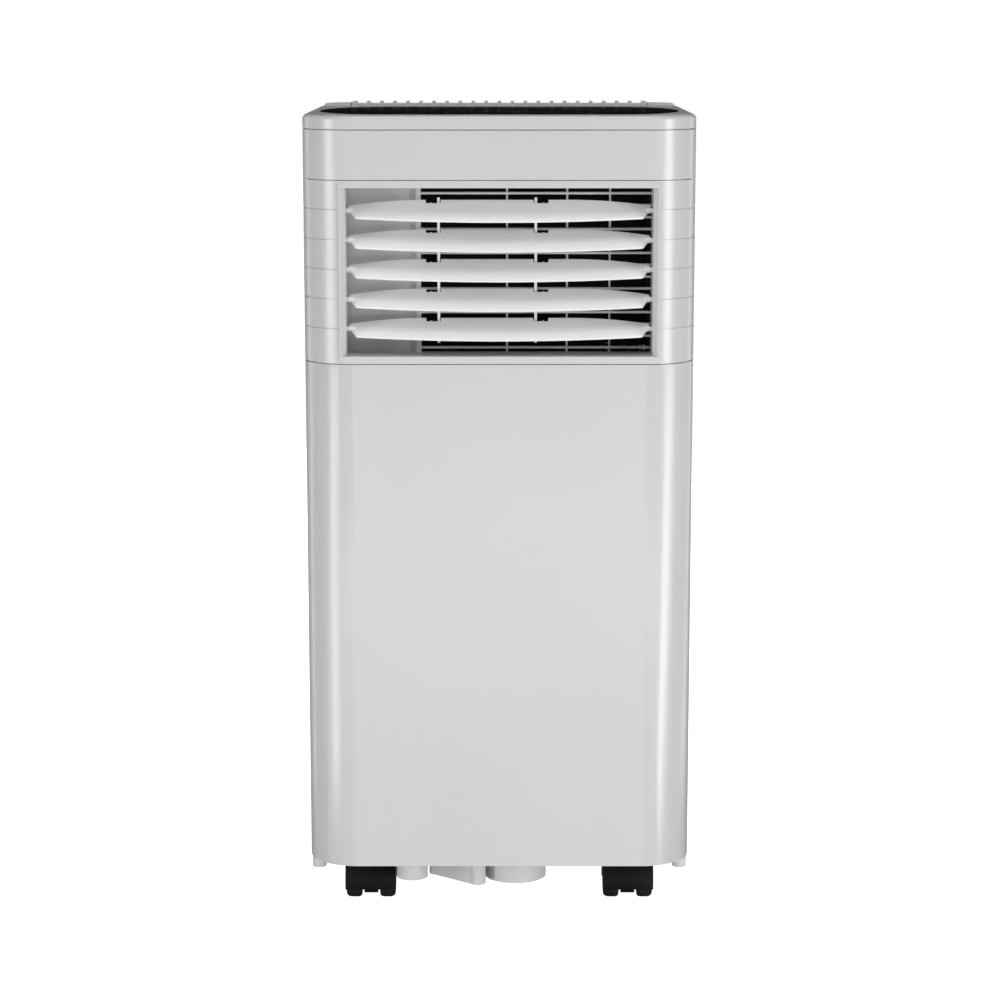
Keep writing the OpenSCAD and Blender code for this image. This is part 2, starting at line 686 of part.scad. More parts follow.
// Side view of a rib of the upper grille, which turns over the top edge
module rib_profile(back = 0) {
  bend_y = half_d - rib_bend;
  bend_z = body_h - rib_bend;
  foot_z = upper_opening[2] + 3;
  translate([half_d - rib_depth, foot_z]) square([rib_depth - back, bend_z - foot_z]);
  translate([crest_y, body_h - rib_depth]) square([bend_y - crest_y, rib_depth - back]);
  intersection() {
    translate([bend_y, bend_z]) difference() {
      circle(rib_bend - back);
      circle(rib_bend - rib_depth);
    }
    translate([bend_y, bend_z]) square(rib_bend + 1);
  }
}

// The side view drawn above, made w wide and starting at x
module along_x(x, w) { translate([x, 0, 0]) rotate([90, 0, 90]) linear_extrude(w) children(); }

module upper_grille() color("whitesmoke") {
  for (x = [-11 * grille_pitch : grille_pitch : 11 * grille_pitch]) along_x(x - rib_t / 2, rib_t) rib_profile();
  for (x = [-grille_x, grille_x - 4]) along_x(x, 4) rib_profile(0.6);
  for (z = [upper_opening[2] + 0.5, 530, 605])
    block([-grille_x, grille_x], [half_d - 8, half_d - 1.5], [z, z + 4]);
  block([-grille_x, grille_x], [crest_y, crest_y + 3], [body_h - 9, crest_z]);
}

// A frame with cross bars and a thin mesh across it
module filter_panel(x_half, y, z0, z1) {
  bar = 2.4;
  difference() {
    block([-x_half, x_half], [y, y + 4], [z0, z1]);
    block([-x_half + 6, x_half - 6], [y - 1, y + 5], [z0 + 6, z1 - 6]);
  }
  block([-x_half + 5, x_half - 5], [y + 1.7, y + 2.3], [z0 + 5, z1 - 5]);
  for (i = [-1.5 : 1.5]) block([i * x_half / 2.5 - bar / 2, i * x_half / 2.5 + bar / 2],
                               [y + 0.6, y + 3.4], [z0 + 5, z1 - 5]);
  for (i = [1 : 3]) block([-x_half + 5, x_half - 5], [y + 0.6, y + 3.4],
                          [z0 + i * (z1 - z0) / 4 - bar / 2, z0 + i * (z1 - z0) / 4 + bar / 2]);
}

module upper_filter() color("gray") filter_panel(130, half_d - 18, upper_opening[2] + 6, 674);
module lower_filter() color("gray") filter_panel(114, half_d - 18, lower_opening[2] + 5, lower_opening[3] - 5);

module lower_grille() color("whitesmoke") {
  w = lower_opening[1] - 0.6;
  z0 = lower_opening[2] + 0.6;
  z1 = lower_opening[3] - 0.6;
  difference() {
    block([-w, w], [half_d - 8, half_d - 0.6], [z0, z1]);
    block([-w + 4, w - 4], [half_d - 9, half_d + 1], [z0 + 4, z1 - 4]);
  }
  for (x = [-9 * grille_pitch : grille_pitch : 9 * grille_pitch])
    block([x - rib_t / 2, x + rib_t / 2], [half_d - 6, half_d - 0.6], [z0 + 3, z1 - 3]);
  block([-w + 3, w - 3], [half_d - 7.5, half_d - 3], [(z0 + z1) / 2 - 2, (z0 + z1) / 2 + 2]);
}

module lower_drain_plug() color("dimgray") {
  rod_y([lower_spout[0], half_d - 14, lower_spout[1]], 5.92, 12);
  rod_y([lower_spout[0], half_d - 2.6, lower_spout[1]], 9.2, 2.4);
}

module cord_gland() color("black") difference() {
  union() {
    rod_y([gland_at[0], half_d - 6.6, gland_at[1]], 9, 4);
    rod_y([gland_at[0], half_d - 6.6, gland_at[1]], 6, 6.4);
  }
  rod_y([gland_at[0], half_d - 8, gland_at[1]], 3.6, 10);
}

module casing_screws() color("silver") at_screws() difference() {
  rod_y([0, half_d - 8, 0], screw_r, 5.6);
  for (turn = [0, 90]) rotate([0, turn, 0]) block([-0.4, 0.4], [half_d - 3.6, half_d], [-2, 2]);
}

// ---------------------------------------------------------------- casters

trail = 8;                          // how far the axle lies in front of the stem
hood_half = 22;
hood_r = wheel_r + 2.5;
web_half = 5.9;
axle_r = 2.5;

module caster_hood(x, y) color("black") translate([x, y, 0]) {
  translate([0, 0, 38]) cylinder(r = 4.5, h = 16);
  translate([0, 0, 2 * wheel_r + 0.4]) cylinder(r = 12, h = 2.2);
  difference() {
    union() {
      difference() {
        rod_x([-hood_half, -trail, wheel_r], hood_r, 2 * hood_half);
        for (s = [-1, 1]) rod_x([s > 0 ? web_half : -hood_half - 1, -trail, wheel_r], wheel_r + 1,
                                hood_half + 1 - web_half);
        block([-30, 30], [-40, 40], [-5, 12]);
      }
      rod_x([-web_half, -trail, wheel_r], wheel_r - 3.5, 2 * web_half);
    }
    rod_x([-30, -trail, wheel_r], axle_r + 0.05, 60);
  }
}

module caster_wheels(x, y) color("dimgray") translate([x, y, 0]) {
  rod_x([-20, -trail, wheel_r], axle_r, 40);
  for (s = [-1, 1]) difference() {
    union() {
      rod_x([s > 0 ? 9 : -20.5, -trail, wheel_r], wheel_r, 11.5);
      rod_x([s > 0 ? 8 : -21.5, -trail, wheel_r], wheel_r - 1.2, 13.5);
    }
    rod_x([s > 0 ? 19.5 : -22, -trail, wheel_r], 13, 2.5);
  }
}

module caster_front_left_hood() { caster_hood(-caster_x, -caster_y); }
module caster_front_left_wheels() { caster_wheels(-caster_x, -caster_y); }
module caster_front_right_hood() { caster_hood(caster_x, -caster_y); }
module caster_front_right_wheels() { caster_wheels(caster_x, -caster_y); }
module caster_rear_left_hood() { caster_hood(-caster_x, caster_y); }
module caster_rear_left_wheels() { caster_wheels(-caster_x, caster_y); }
module caster_rear_right_hood() { caster_hood(caster_x, caster_y); }
module caster_rear_right_wheels() { caster_wheels(caster_x, caster_y); }

base_pan();
front_cover();
upper_casing();
outlet_frame();
rear_cover();
top_cover();
control_panel();
display_window();
key_power();
key_mode();
key_fan();
key_timer();
key_up();
key_down();
louvre_1();
louvre_2();
louvre_3();
louvre_4();
louvre_5();
louvre_link_left();
louvre_link_right();
finger_guard();
outlet_duct();
evaporator_fan_wheel();
evaporator_fan_motor();
evaporator_coil();
drain_tray();
partition();
exhaust_duct();
exhaust_collar();
condenser_scroll();
condenser_fan_wheel();
condenser_fan_motor();
condenser_coil();
compressor();
compressor_grommets();
accumulator();
refrigerant_pipes();
splash_motor();
splash_wheel();
electrical_box();
run_capacitor();
control_board();
upper_grille();
upper_filter();
lower_grille();
lower_filter();
upper_drain_plug();
lower_drain_plug();
cord_gland();
casing_screws();
caster_front_left_hood();
caster_front_left_wheels();
caster_front_right_hood();
caster_front_right_wheels();
caster_rear_left_hood();
caster_rear_left_wheels();
caster_rear_right_hood();
caster_rear_right_wheels();
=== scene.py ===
"""Looks for the portable air conditioner: materials, finer pieces, studio light and camera."""
import json
import math

import bmesh
import bpy
from mathutils import Matrix, Vector


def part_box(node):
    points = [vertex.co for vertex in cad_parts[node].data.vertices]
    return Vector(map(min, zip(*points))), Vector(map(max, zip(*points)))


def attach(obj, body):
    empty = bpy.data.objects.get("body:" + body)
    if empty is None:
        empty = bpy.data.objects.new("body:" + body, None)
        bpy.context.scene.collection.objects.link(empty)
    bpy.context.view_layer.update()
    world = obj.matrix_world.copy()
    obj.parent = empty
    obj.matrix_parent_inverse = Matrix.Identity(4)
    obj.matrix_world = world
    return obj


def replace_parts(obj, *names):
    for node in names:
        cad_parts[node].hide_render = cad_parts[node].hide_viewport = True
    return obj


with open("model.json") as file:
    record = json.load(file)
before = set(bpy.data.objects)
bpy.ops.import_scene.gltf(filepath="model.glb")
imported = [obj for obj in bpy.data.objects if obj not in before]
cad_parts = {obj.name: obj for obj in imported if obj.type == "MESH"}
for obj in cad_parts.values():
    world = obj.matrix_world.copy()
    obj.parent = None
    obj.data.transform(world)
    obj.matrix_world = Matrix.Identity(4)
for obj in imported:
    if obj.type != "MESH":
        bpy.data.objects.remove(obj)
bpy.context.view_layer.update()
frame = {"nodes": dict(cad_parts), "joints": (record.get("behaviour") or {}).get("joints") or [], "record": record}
NODES = frame["nodes"]
MM = 0.001

# ---------------------------------------------------------------- camera

CASE_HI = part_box("rear_cover")[1]
FRONT_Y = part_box("front_cover")[0].y
CAMERA_X = 0.0006
CAMERA_DISTANCE = 2.223      # from the front face
CAMERA_HEIGHT = 0.760
CAMERA_PITCH = math.radians(10.09)
CAMERA_LENS = 96.4           # mm
CAMERA_SENSOR = 36.0         # mm
FARTHEST_SEEN = 60.0


def add_camera():
    data = bpy.data.cameras.new("camera")
    data.lens = CAMERA_LENS
    data.sensor_width = CAMERA_SENSOR
    data.dof.use_dof = False
    data.clip_end = FARTHEST_SEEN
    cam = bpy.data.objects.new("camera", data)
    cam.location = (CAMERA_X, FRONT_Y - CAMERA_DISTANCE, CAMERA_HEIGHT)
    cam.rotation_euler = (math.pi / 2 - CAMERA_PITCH, 0, 0)
    bpy.context.scene.collection.objects.link(cam)
    bpy.context.scene.camera = cam


add_camera()

# ---------------------------------------------------------------- node helpers

WAVES_PER_UNIT = 10.0 / math.pi      # bands that a wave texture draws in a metre at scale 1


class Nodes:
    """A short way to write a node tree."""

    def __init__(self, name):
        self.material = bpy.data.materials.new(name)
        self.material.use_nodes = True
        self.tree = self.material.node_tree
        self.shader = self.tree.nodes["Principled BSDF"]
        self.coords = self.add("ShaderNodeTexCoord").outputs["Object"]

    def add(self, kind, **settings):
        node = self.tree.nodes.new(kind)
        for key, value in settings.items():
            setattr(node, key, value)
        return node

    def link(self, source, target):
        self.tree.links.new(source, target)

    def noise(self, scale, detail=2.0, rough=0.5, vector=None):
        """Noise whose features are about 1 / scale metres across."""
        node = self.add("ShaderNodeTexNoise")
        node.inputs["Scale"].default_value = scale
        node.inputs["Detail"].default_value = detail
        node.inputs["Roughness"].default_value = rough
        self.link(vector or self.coords, node.inputs["Vector"])
        return node.outputs["Fac"]

    def stretched(self, x, y, z):
        """Coordinates scaled along each axis, for streaks."""
        node = self.add("ShaderNodeMapping")
        node.inputs["Scale"].default_value = (x, y, z)
        self.link(self.coords, node.inputs["Vector"])
        return node.outputs["Vector"]

    def remap(self, value, a, b, c, d):
        node = self.add("ShaderNodeMapRange")
        for key, number in zip(("From Min", "From Max", "To Min", "To Max"), (a, b, c, d)):
            node.inputs[key].default_value = number
        self.link(value, node.inputs["Value"])
        return node.outputs["Result"]

    def patches(self, scale, detail, low=0.3, high=0.7):
        """Soft patches from 0 to 1, with level parts below low and above high."""
        return self.remap(self.noise(scale, detail), low, high, 0.0, 1.0)

    def bands(self, axis, per_metre):
        """Smooth waves from 0 to 1 along an axis."""
        node = self.add("ShaderNodeTexWave", wave_type="BANDS", bands_direction=axis)
        node.inputs["Scale"].default_value = per_metre / WAVES_PER_UNIT
        self.link(self.coords, node.inputs["Vector"])
        return node.outputs["Fac"]

    def mix(self, factor, first, second):
        """A colour between first and second, which are colours or sockets."""
        node = self.add("ShaderNodeMix", data_type="RGBA")
        self.link(factor, node.inputs["Factor"])
        for value, socket in ((first, node.inputs["A"]), (second, node.inputs["B"])):
            if isinstance(value, tuple):
                socket.default_value = (*value, 1.0)
            else:
                self.link(value, socket)
        return node.outputs["Result"]

    def larger(self, first, second):
        node = self.add("ShaderNodeMath", operation="MAXIMUM")
        self.link(first, node.inputs[0])
        self.link(second, node.inputs[1])
        return node.outputs["Value"]

    def bump(self, height, strength, distance):
        node = self.add("ShaderNodeBump")
        node.inputs["Strength"].default_value = strength
        node.inputs["Distance"].default_value = distance
        self.link(height, node.inputs["Height"])
        return node.outputs["Normal"]

    def set(self, name, value):
        if isinstance(value, (float, int)):
            self.shader.inputs[name].default_value = value
        elif isinstance(value, tuple):
            self.shader.inputs[name].default_value = (*value, 1.0)
        else:
            self.link(value, self.shader.inputs[name])


# ---------------------------------------------------------------- materials

# Heights of surface relief, in metres
SPARK_RELIEF = 0.00004
POLISH_RELIEF = 0.00002
DRAWN_RELIEF = 0.00003
PAINT_RELIEF = 0.00005
DUCT_INSIDE_RELIEF = 0.0001
CLOTH_RELIEF = 0.0003
# Noise scales: features are about 1 / scale metres across
FLOW = 9.0
CLOUD = 50.0
SHEEN = 45.0
FINE = 900.0
THREADS_PER_METRE = 420.0


def tone(color, factor):
    return tuple(min(c * factor, 1.0) for c in color)


def plastic(name, color, rough=0.29, grain=0.08, grain_mm=0.45, spread=0.03, scuffs=0.0,
            shine=0.75):
    """Moulded plastic: a fine spark texture, faint flow and dust variation, and optional scuffs."""
    n = Nodes(name)
    shade = n.mix(n.patches(FLOW, 3.0), tone(color, 1 - spread), tone(color, 1 + spread))
    dust = n.remap(n.noise(CLOUD, 2.0), 0.45, 0.85, 0.0, 0.2)
    shade = n.mix(dust, shade, tone(color, 1 - 1.5 * spread))
    if scuffs:
        streak = n.noise(1.0, 6.0, 0.7, n.stretched(35.0, 35.0, 260.0))
        shade = n.mix(n.remap(streak, 0.62, 0.72, 0.0, scuffs), shade, tone(color, 0.86))
    n.set("Base Color", shade)
    n.set("Roughness", n.remap(n.noise(SHEEN, 2.0), 0.0, 1.0, rough - 0.03, rough + 0.04))
    n.set("Specular IOR Level", shine)
    n.set("Normal", n.bump(n.noise(1.0 / (grain_mm * MM), 2.0), grain, SPARK_RELIEF))
    return n.material


def gloss_black(name, color, rough=0.10, shine=0.5):
    """Polished dark plastic with a thin haze of wiped dust."""
    n = Nodes(name)
    wiped = n.noise(1.0, 3.0, 0.5, n.stretched(10.0, 25.0, 10.0))
    haze = n.remap(wiped, 0.2, 0.9, 0.0, 1.0)
    n.set("Base Color", n.mix(haze, color, tone(color, 1.4)))
    n.set("Roughness", n.remap(wiped, 0.3, 0.8, rough, rough + 0.12))
    n.set("Specular IOR Level", shine)
    n.set("Normal", n.bump(n.noise(FINE, 2.0), 0.05, POLISH_RELIEF))
    return n.material


def metal(name, color, rough=0.35, drawn=(1.0, 1.0, 1.0)):
    """Bare metal with fine drawn lines, long in the direction where drawn is small."""
    n = Nodes(name)
    lines = n.noise(400.0, 3.0, 0.6, n.stretched(*drawn))
    n.set("Base Color", n.mix(n.patches(25.0, 4.0), tone(color, 0.88), tone(color, 1.06)))
    n.set("Metallic", 1.0)
    n.set("Roughness", n.remap(lines, 0.3, 0.7, rough - 0.08, rough + 0.12))
    n.set("Normal", n.bump(lines, 0.12, DRAWN_RELIEF))
    return n.material


def painted(name, color, rough=0.35):
    """Enamel on sheet metal, with a light orange peel."""
    n = Nodes(name)
    n.set("Base Color", n.mix(n.patches(30.0, 4.0), tone(color, 0.9), tone(color, 1.2)))
    n.set("Roughness", n.remap(n.noise(120.0, 3.0), 0.3, 0.7, rough - 0.06, rough + 0.1))
    n.set("Normal", n.bump(n.noise(500.0, 2.0), 0.2, PAINT_RELIEF))
    return n.material


def plastic_with_painted_shade_inside(name, light, dark, edge_y):
    """Light plastic whose inside, behind edge_y, is painted near black as shade, with a fine texture."""
    n = Nodes(name)
    split = n.add("ShaderNodeSeparateXYZ")
    n.link(n.coords, split.inputs["Vector"])
    inside = n.remap(split.outputs["Y"], edge_y, edge_y + 0.3 * MM, 0.0, 1.0)
    plate = n.mix(n.noise(60.0, 3.0), light, tone(light, 0.95))
    # Painted shade: the near black colour stands for the dark inside the duct, not for a different material.
    painted_dark = n.mix(n.noise(700.0, 4.0), dark, tone(dark, 2.2))
    n.set("Base Color", n.mix(inside, plate, painted_dark))
    n.set("Roughness", n.remap(inside, 0.0, 1.0, 0.42, 0.95))
    n.set("Specular IOR Level", 0.3)
    n.set("Normal", n.bump(n.noise(1100.0, 3.0), 0.25, DUCT_INSIDE_RELIEF))
    return n.material


def filter_cloth(name, thread, gap):
    """Woven dust filter: fine upright and level threads with dark gaps between them."""
    n = Nodes(name)
    raised = n.larger(n.bands("X", THREADS_PER_METRE), n.bands("Z", THREADS_PER_METRE))
    dusty = n.mix(n.patches(30.0, 4.0), thread, tone(thread, 1.3))
    n.set("Base Color", n.mix(n.remap(raised, 0.35, 0.75, 0.0, 1.0), gap, dusty))
    n.set("Roughness", n.remap(raised, 0.0, 1.0, 0.85, 0.6))
    n.set("Specular IOR Level", 0.3)
    n.set("Normal", n.bump(raised, 0.5, CLOTH_RELIEF))
    return n.material


def rubber(name, color):
    """Matt rubber with a chalky bloom."""
    n = Nodes(name)
    n.set("Base Color", n.mix(n.patches(220.0, 5.0, 0.35, 0.75), color, tone(color, 2.2)))
    n.set("Roughness", n.remap(n.noise(90.0, 3.0), 0.3, 0.7, 0.62, 0.82))
    n.set("Normal", n.bump(n.noise(1500.0, 2.0), 0.3, SPARK_RELIEF))
    return n.material


MATERIALS = {
    "casing_white": plastic("casing_white", (0.60, 0.60, 0.605), spread=0.012),
    "base_grey": plastic("base_grey", (0.60, 0.60, 0.61), rough=0.5, scuffs=0.3),
    "panel_black": gloss_black("panel_black", (0.010, 0.010, 0.011), 0.2, 0.15),
    "display_smoke": gloss_black("display_smoke", (0.02, 0.02, 0.023)),
    "key_black": gloss_black("key_black", (0.016, 0.016, 0.017)),
    # The louvres are the casing's white plastic. Their lighter colour is painted light that makes up for the shade
    # they sit in.
    "louvre_white": plastic("louvre_white", (0.88, 0.88, 0.885), rough=0.32, spread=0.01),
    "guard_grey": plastic("guard_grey", (0.50, 0.50, 0.51), rough=0.5, shine=0.4),
    "duct_grey": plastic("duct_grey", (0.34, 0.34, 0.35), rough=0.55, shine=0.4),
    "fan_black": plastic("fan_black", (0.04, 0.04, 0.042), rough=0.45, spread=0.15),
    "motor_steel": metal("motor_steel", (0.55, 0.56, 0.58), 0.38, (1.0, 0.1, 1.0)),
    "coil_aluminium": metal("coil_aluminium", (0.72, 0.73, 0.75), 0.4, (1.0, 1.0, 0.05)),
    "compressor_black": painted("compressor_black", (0.02, 0.02, 0.022)),
    "rubber_black": rubber("rubber_black", (0.02, 0.02, 0.02)),
    "pipe_copper": metal("pipe_copper", (0.72, 0.38, 0.22), 0.36),
    "board_green": plastic("board_green", (0.03, 0.17, 0.07), rough=0.3, spread=0.1),
    "grille_white": plastic("grille_white", (0.60, 0.60, 0.605), rough=0.45),
    "filter_grey": filter_cloth("filter_grey", (0.13, 0.135, 0.15), (0.03, 0.03, 0.034)),
    "screw_steel": metal("screw_steel", (0.5, 0.5, 0.52), 0.3),
    "caster_black": plastic("caster_black", (0.006, 0.006, 0.0065), rough=0.5, spread=0.3,
                            grain=0.2, shine=0.12),
    "wheel_black": plastic("wheel_black", (0.009, 0.009, 0.0095), rough=0.5, spread=0.4,
                           scuffs=0.4, shine=0.35),
}
SLOT_OF = {s["node"]: s["material_slot"] for s in frame["record"]["subparts"]}
# Where the painted shade inside the outlet duct starts, 2.2 mm behind its front.
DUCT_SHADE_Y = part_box("outlet_duct")[0].y + 2.2 * MM


def dress(obj, slot):
    obj.data.materials.clear()
    obj.data.materials.append(MATERIALS[slot])


def dress_nodes():
    """Puts each CAD node's material on it. The outlet duct's inside is painted near black as shade."""
    for name, node in NODES.items():
        node.data.materials.clear()
        node.data.materials.append(MATERIALS[SLOT_OF[name]])
    # Painted shade: the outlet duct is light plastic at its front and painted near black inside.
    NODES["outlet_duct"].data.materials[0] = plastic_with_painted_shade_inside(
        "outlet_duct_painted_shade", (0.50, 0.50, 0.51), (0.006, 0.006, 0.006), DUCT_SHADE_Y)


# ---------------------------------------------------------------- soft edges

CASTERS = ["front_left", "front_right", "rear_left", "rear_right"]
KEYS = ["power", "mode", "fan", "timer", "up", "down"]
WELD_DISTANCE = 0.00001
SHARP_ANGLE = 35
# Radius of each node's moulded edges, in mm
SOFT_EDGES = {
    "front_cover": 0.5, "rear_cover": 0.5, "base_pan": 0.8,
    "upper_grille": 0.5, "lower_grille": 0.5, "exhaust_collar": 0.5,
    "upper_drain_plug": 0.5, "lower_drain_plug": 0.5, "cord_gland": 0.4,
    "finger_guard": 0.3, "louvre_link_left": 0.3, "louvre_link_right": 0.3,
    "control_panel": 0.3, "casing_screws": 0.3,
    **{"key_%s" % key: 0.25 for key in KEYS},
    **{"caster_%s_hood" % place: 0.8 for place in CASTERS},
}


def soften(obj, width_mm):
    """Rounds the sharp edges of a piece, after joining the vertices its faces share."""
    weld = obj.modifiers.new("joined", "WELD")
    weld.merge_threshold = WELD_DISTANCE
    mod = obj.modifiers.new("soft_edges", "BEVEL")
    mod.width = width_mm * MM
    mod.segments = 2
    mod.limit_method = "ANGLE"
    mod.angle_limit = math.radians(SHARP_ANGLE)
    mod.use_clamp_overlap = True
    mod.harden_normals = True


dress_nodes()
for node_name, edge_radius in SOFT_EDGES.items():
    soften(NODES[node_name], edge_radius)

# ---------------------------------------------------------------- mesh helpers

SAME_POINT = 1e-6
SMOOTH_ANGLE = 40


def at_height(points, z):
    return [(x, y, z) for x, y in points]


def keep_edges(obj, angle=SMOOTH_ANGLE):
    """Smooth shading that stays sharp where faces meet at more than the angle."""
    bm = bmesh.new()
    bm.from_mesh(obj.data)
    for edge in bm.edges:
        joined = len(edge.link_faces) == 2
        edge.smooth = joined and edge.calc_face_angle(math.pi) < math.radians(angle)
    bm.to_mesh(obj.data)
    bm.free()


def new_piece(name, verts, faces, slot, body):
    """A mesh piece in the CAD frame that rides on a body."""
    mesh = bpy.data.meshes.new(name)
    mesh.from_pydata([tuple(v) for v in verts], [], faces)
    bm = bmesh.new()
    bm.from_mesh(mesh)
    bmesh.ops.remove_doubles(bm, verts=bm.verts, dist=SAME_POINT)
    bmesh.ops.recalc_face_normals(bm, faces=bm.faces)
    bm.to_mesh(mesh)
    bm.free()
    obj = bpy.data.objects.new(name, mesh)
    bpy.context.scene.collection.objects.link(obj)
    for polygon in mesh.polygons:
        polygon.use_smooth = True
    keep_edges(obj)
    dress(obj, slot)
    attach(obj, body)
    return obj


class Shape:
    """Collects vertices and faces for one piece."""

    def __init__(self):
        self.verts = []
        self.faces = []

    def ring(self, points):
        start = len(self.verts)
        self.verts.extend(points)
        return list(range(start, start + len(points)))

    def bridge(self, a, b):
        """Joins two rings of equal length."""
        for i in range(len(a)):
            j = (i + 1) % len(a)
            self.faces.append((a[i], a[j], b[j], b[i]))

    def loft(self, loops, capped=True):
        """A skin over a row of loops, whose ends are capped or else joined to each other."""
        rings = [self.ring(loop) for loop in loops]
        for a, b in zip(rings, rings[1:]):
            self.bridge(a, b)
        if capped:
            self.faces.append(tuple(rings[0][::-1]))
            self.faces.append(tuple(rings[-1]))
        else:
            self.bridge(rings[-1], rings[0])

    def box(self, lo, hi):
        corners = [(lo[0], lo[1]), (hi[0], lo[1]), (hi[0], hi[1]), (lo[0], hi[1])]
        self.loft([at_height(corners, z) for z in (lo[2], hi[2])])

    def rod(self, start, end, radius, sides):
        """A round bar between two points."""
        start, end = Vector(start), Vector(end)
        along = (end - start).normalized()
        side = along.orthogonal().normalized()
        other = along.cross(side)
        turns = [2 * math.pi * i / sides for i in range(sides)]
        self.loft([[tuple(centre + radius * (math.cos(t) * side + math.sin(t) * other)) for t in turns]
                   for centre in (start, end)])

    def turned(self, profile, centre, sides):
        """Turns a closed profile of (radius, distance along X) round a line through centre."""
        turns = [2 * math.pi * i / sides for i in range(sides)]
        loops = []
        for r, d in profile:
            loops.append([(centre.x + d, centre.y + r * math.cos(t), centre.z + r * math.sin(t))
                          for t in turns])
        self.loft(loops, capped=False)

    def piece(self, name, slot, body):
        return new_piece(name, self.verts, self.faces, slot, body)


# ---------------------------------------------------------------- casing outline

HALF_W = CASE_HI.x
HALF_D = CASE_HI.y
FRONT_R = 42 * MM
REAR_R = 30 * MM
LEAST_R = 0.1 * MM
CORNER_STEPS = 16


def arc(centre, radius, start, end, steps):
    """Points on an arc, with its angles in degrees."""
    angles = [math.radians(start + (end - start) * i / steps) for i in range(steps + 1)]
    return [(centre[0] + radius * math.cos(t), centre[1] + radius * math.sin(t)) for t in angles]


def casing_outline(inset):
    """Points round the casing seen from above, anticlockwise from the right-hand rear corner."""
    w, d = HALF_W - inset, HALF_D - inset
    front, rear = max(FRONT_R - inset, LEAST_R), max(REAR_R - inset, LEAST_R)
    return (arc((w - rear, d - rear), rear, 0, 90, CORNER_STEPS)
            + arc((rear - w, d - rear), rear, 90, 180, CORNER_STEPS)
            + arc((front - w, front - d), front, 180, 270, CORNER_STEPS)
            + arc((w - front, front - d), front, 270, 360, CORNER_STEPS))


# ---------------------------------------------------------------- top cover

PANEL_LO, PANEL_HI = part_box("control_panel")
GRILLE_LO, GRILLE_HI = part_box("upper_grille")
PANEL_END = 55 * MM          # half width of the panel's elliptical ends
RING_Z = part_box("top_cover")[0].z
CREST_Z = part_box("top_cover")[1].z
RIM_Z = PANEL_HI.z + 0.1 * MM
RIM_ROLL = 4.5 * MM          # radius of the rolled outer edge
ROLL_STEPS = 8
SHELL_INSET = 4.5 * MM       # the shell's inner side, in from the casing's outline
SHELL_RISE = 6 * MM          # from the seam up to the shell's underside
SEAM_CHAMFER = (0.5 * MM, 0.6 * MM)
PANEL_GAP = 0.3 * MM
PANEL_LIP = (0.5 * MM, 0.4 * MM)
SEAT_Z = PANEL_LO.z - 0.2 * MM
SEAT_W = 12 * MM             # how far the seat reaches in under the panel
# The channel round the panel: (distance from the panel, depth) in mm
CHANNEL = ((10.2, 0), (9.6, 0.5), (9.2, 1.6), (7.4, 1.6), (7.0, 0.5), (6.4, 0))
CHANNEL_ROOM = 11 * MM       # where the rim is narrower, there is no channel
CHANNEL_FADE = 8 * MM
GRILLE_GAP = 1 * MM
CUT_PAST = 10 * MM           # how far the grille's cut runs past the cover
RIM_ANGLE = 35
# The raised corners' edge: (inset from the casing's outline, drop from the crest) in mm
CREST_INSET = 3.4
CREST_EDGE = ((CREST_INSET, 1.6), (3.9, 0.5), (5.0, 0.0))
CREST_ROOT = 0.6 * MM        # how far the corners reach down into the rim
CREST_STEPS = 12


def panel_outline(grow):
    """Points round the control panel, matched one to one with casing_outline."""
    rx, ry = PANEL_END + grow, (PANEL_HI.y - PANEL_LO.y) / 2 + grow
    cx, cy = PANEL_HI.x - PANEL_END, (PANEL_HI.y + PANEL_LO.y) / 2
    points = []
    for quarter, side in enumerate((1, -1, -1, 1)):
        for i in range(CORNER_STEPS + 1):
            t = math.radians(90 * (quarter + i / CORNER_STEPS))
            points.append((side * cx + rx * math.cos(t), cy + ry * math.sin(t)))
    return points


def cut_away(obj, lo, hi):
    """Cuts the box between two corners out of a piece."""
    shape = Shape()
    shape.box(lo, hi)
    mesh = bpy.data.meshes.new("cutter")
    mesh.from_pydata(shape.verts, [], shape.faces)
    cutter = bpy.data.objects.new("cutter", mesh)
    bpy.context.scene.collection.objects.link(cutter)
    bm = bmesh.new()
    bm.from_mesh(mesh)
    bmesh.ops.recalc_face_normals(bm, faces=bm.faces)
    bm.to_mesh(mesh)
    bm.free()
    mod = obj.modifiers.new("cut", "BOOLEAN")
    mod.operation = "DIFFERENCE"
    mod.solver = "EXACT"
    mod.object = cutter
    bpy.context.view_layer.update()
    graph = bpy.context.evaluated_depsgraph_get()
    cut = bpy.data.meshes.new_from_object(obj.evaluated_get(graph))
    obj.modifiers.remove(mod)
    cut.name = obj.data.name + "_cut"
    obj.data = cut
    bpy.data.objects.remove(cutter)


def rolled_edge():
    """Loops from the shell's inner side, round the seam, and up over the rolled outer edge."""
    chamfer_in, chamfer_up = SEAM_CHAMFER
    loops = [at_height(casing_outline(SHELL_INSET), RING_Z + SHELL_RISE),
             at_height(casing_outline(SHELL_INSET), RING_Z),
             at_height(casing_outline(chamfer_in), RING_Z),
             at_height(casing_outline(0), RING_Z + chamfer_up)]
    for i in range(ROLL_STEPS + 1):
        t = math.radians(90 * i / ROLL_STEPS)
        loops.append(at_height(casing_outline(RIM_ROLL * (1 - math.cos(t))),
                               RIM_Z - RIM_ROLL + RIM_ROLL * math.sin(t)))
    return loops


def channel_loop(distance, depth):
    """A loop on the flat rim, a distance out from the panel. Its depth fades where the rim is narrow."""
    loop = []
    for (ox, oy), (px, py) in zip(casing_outline(RIM_ROLL), panel_outline(PANEL_GAP)):
        span = math.hypot(ox - px, oy - py)
        room = min(max((span - CHANNEL_ROOM) / CHANNEL_FADE, 0), 1)
        part = min(distance / span, 0.9)
        loop.append((px + (ox - px) * part, py + (oy - py) * part, RIM_Z - depth * room))
    return loop


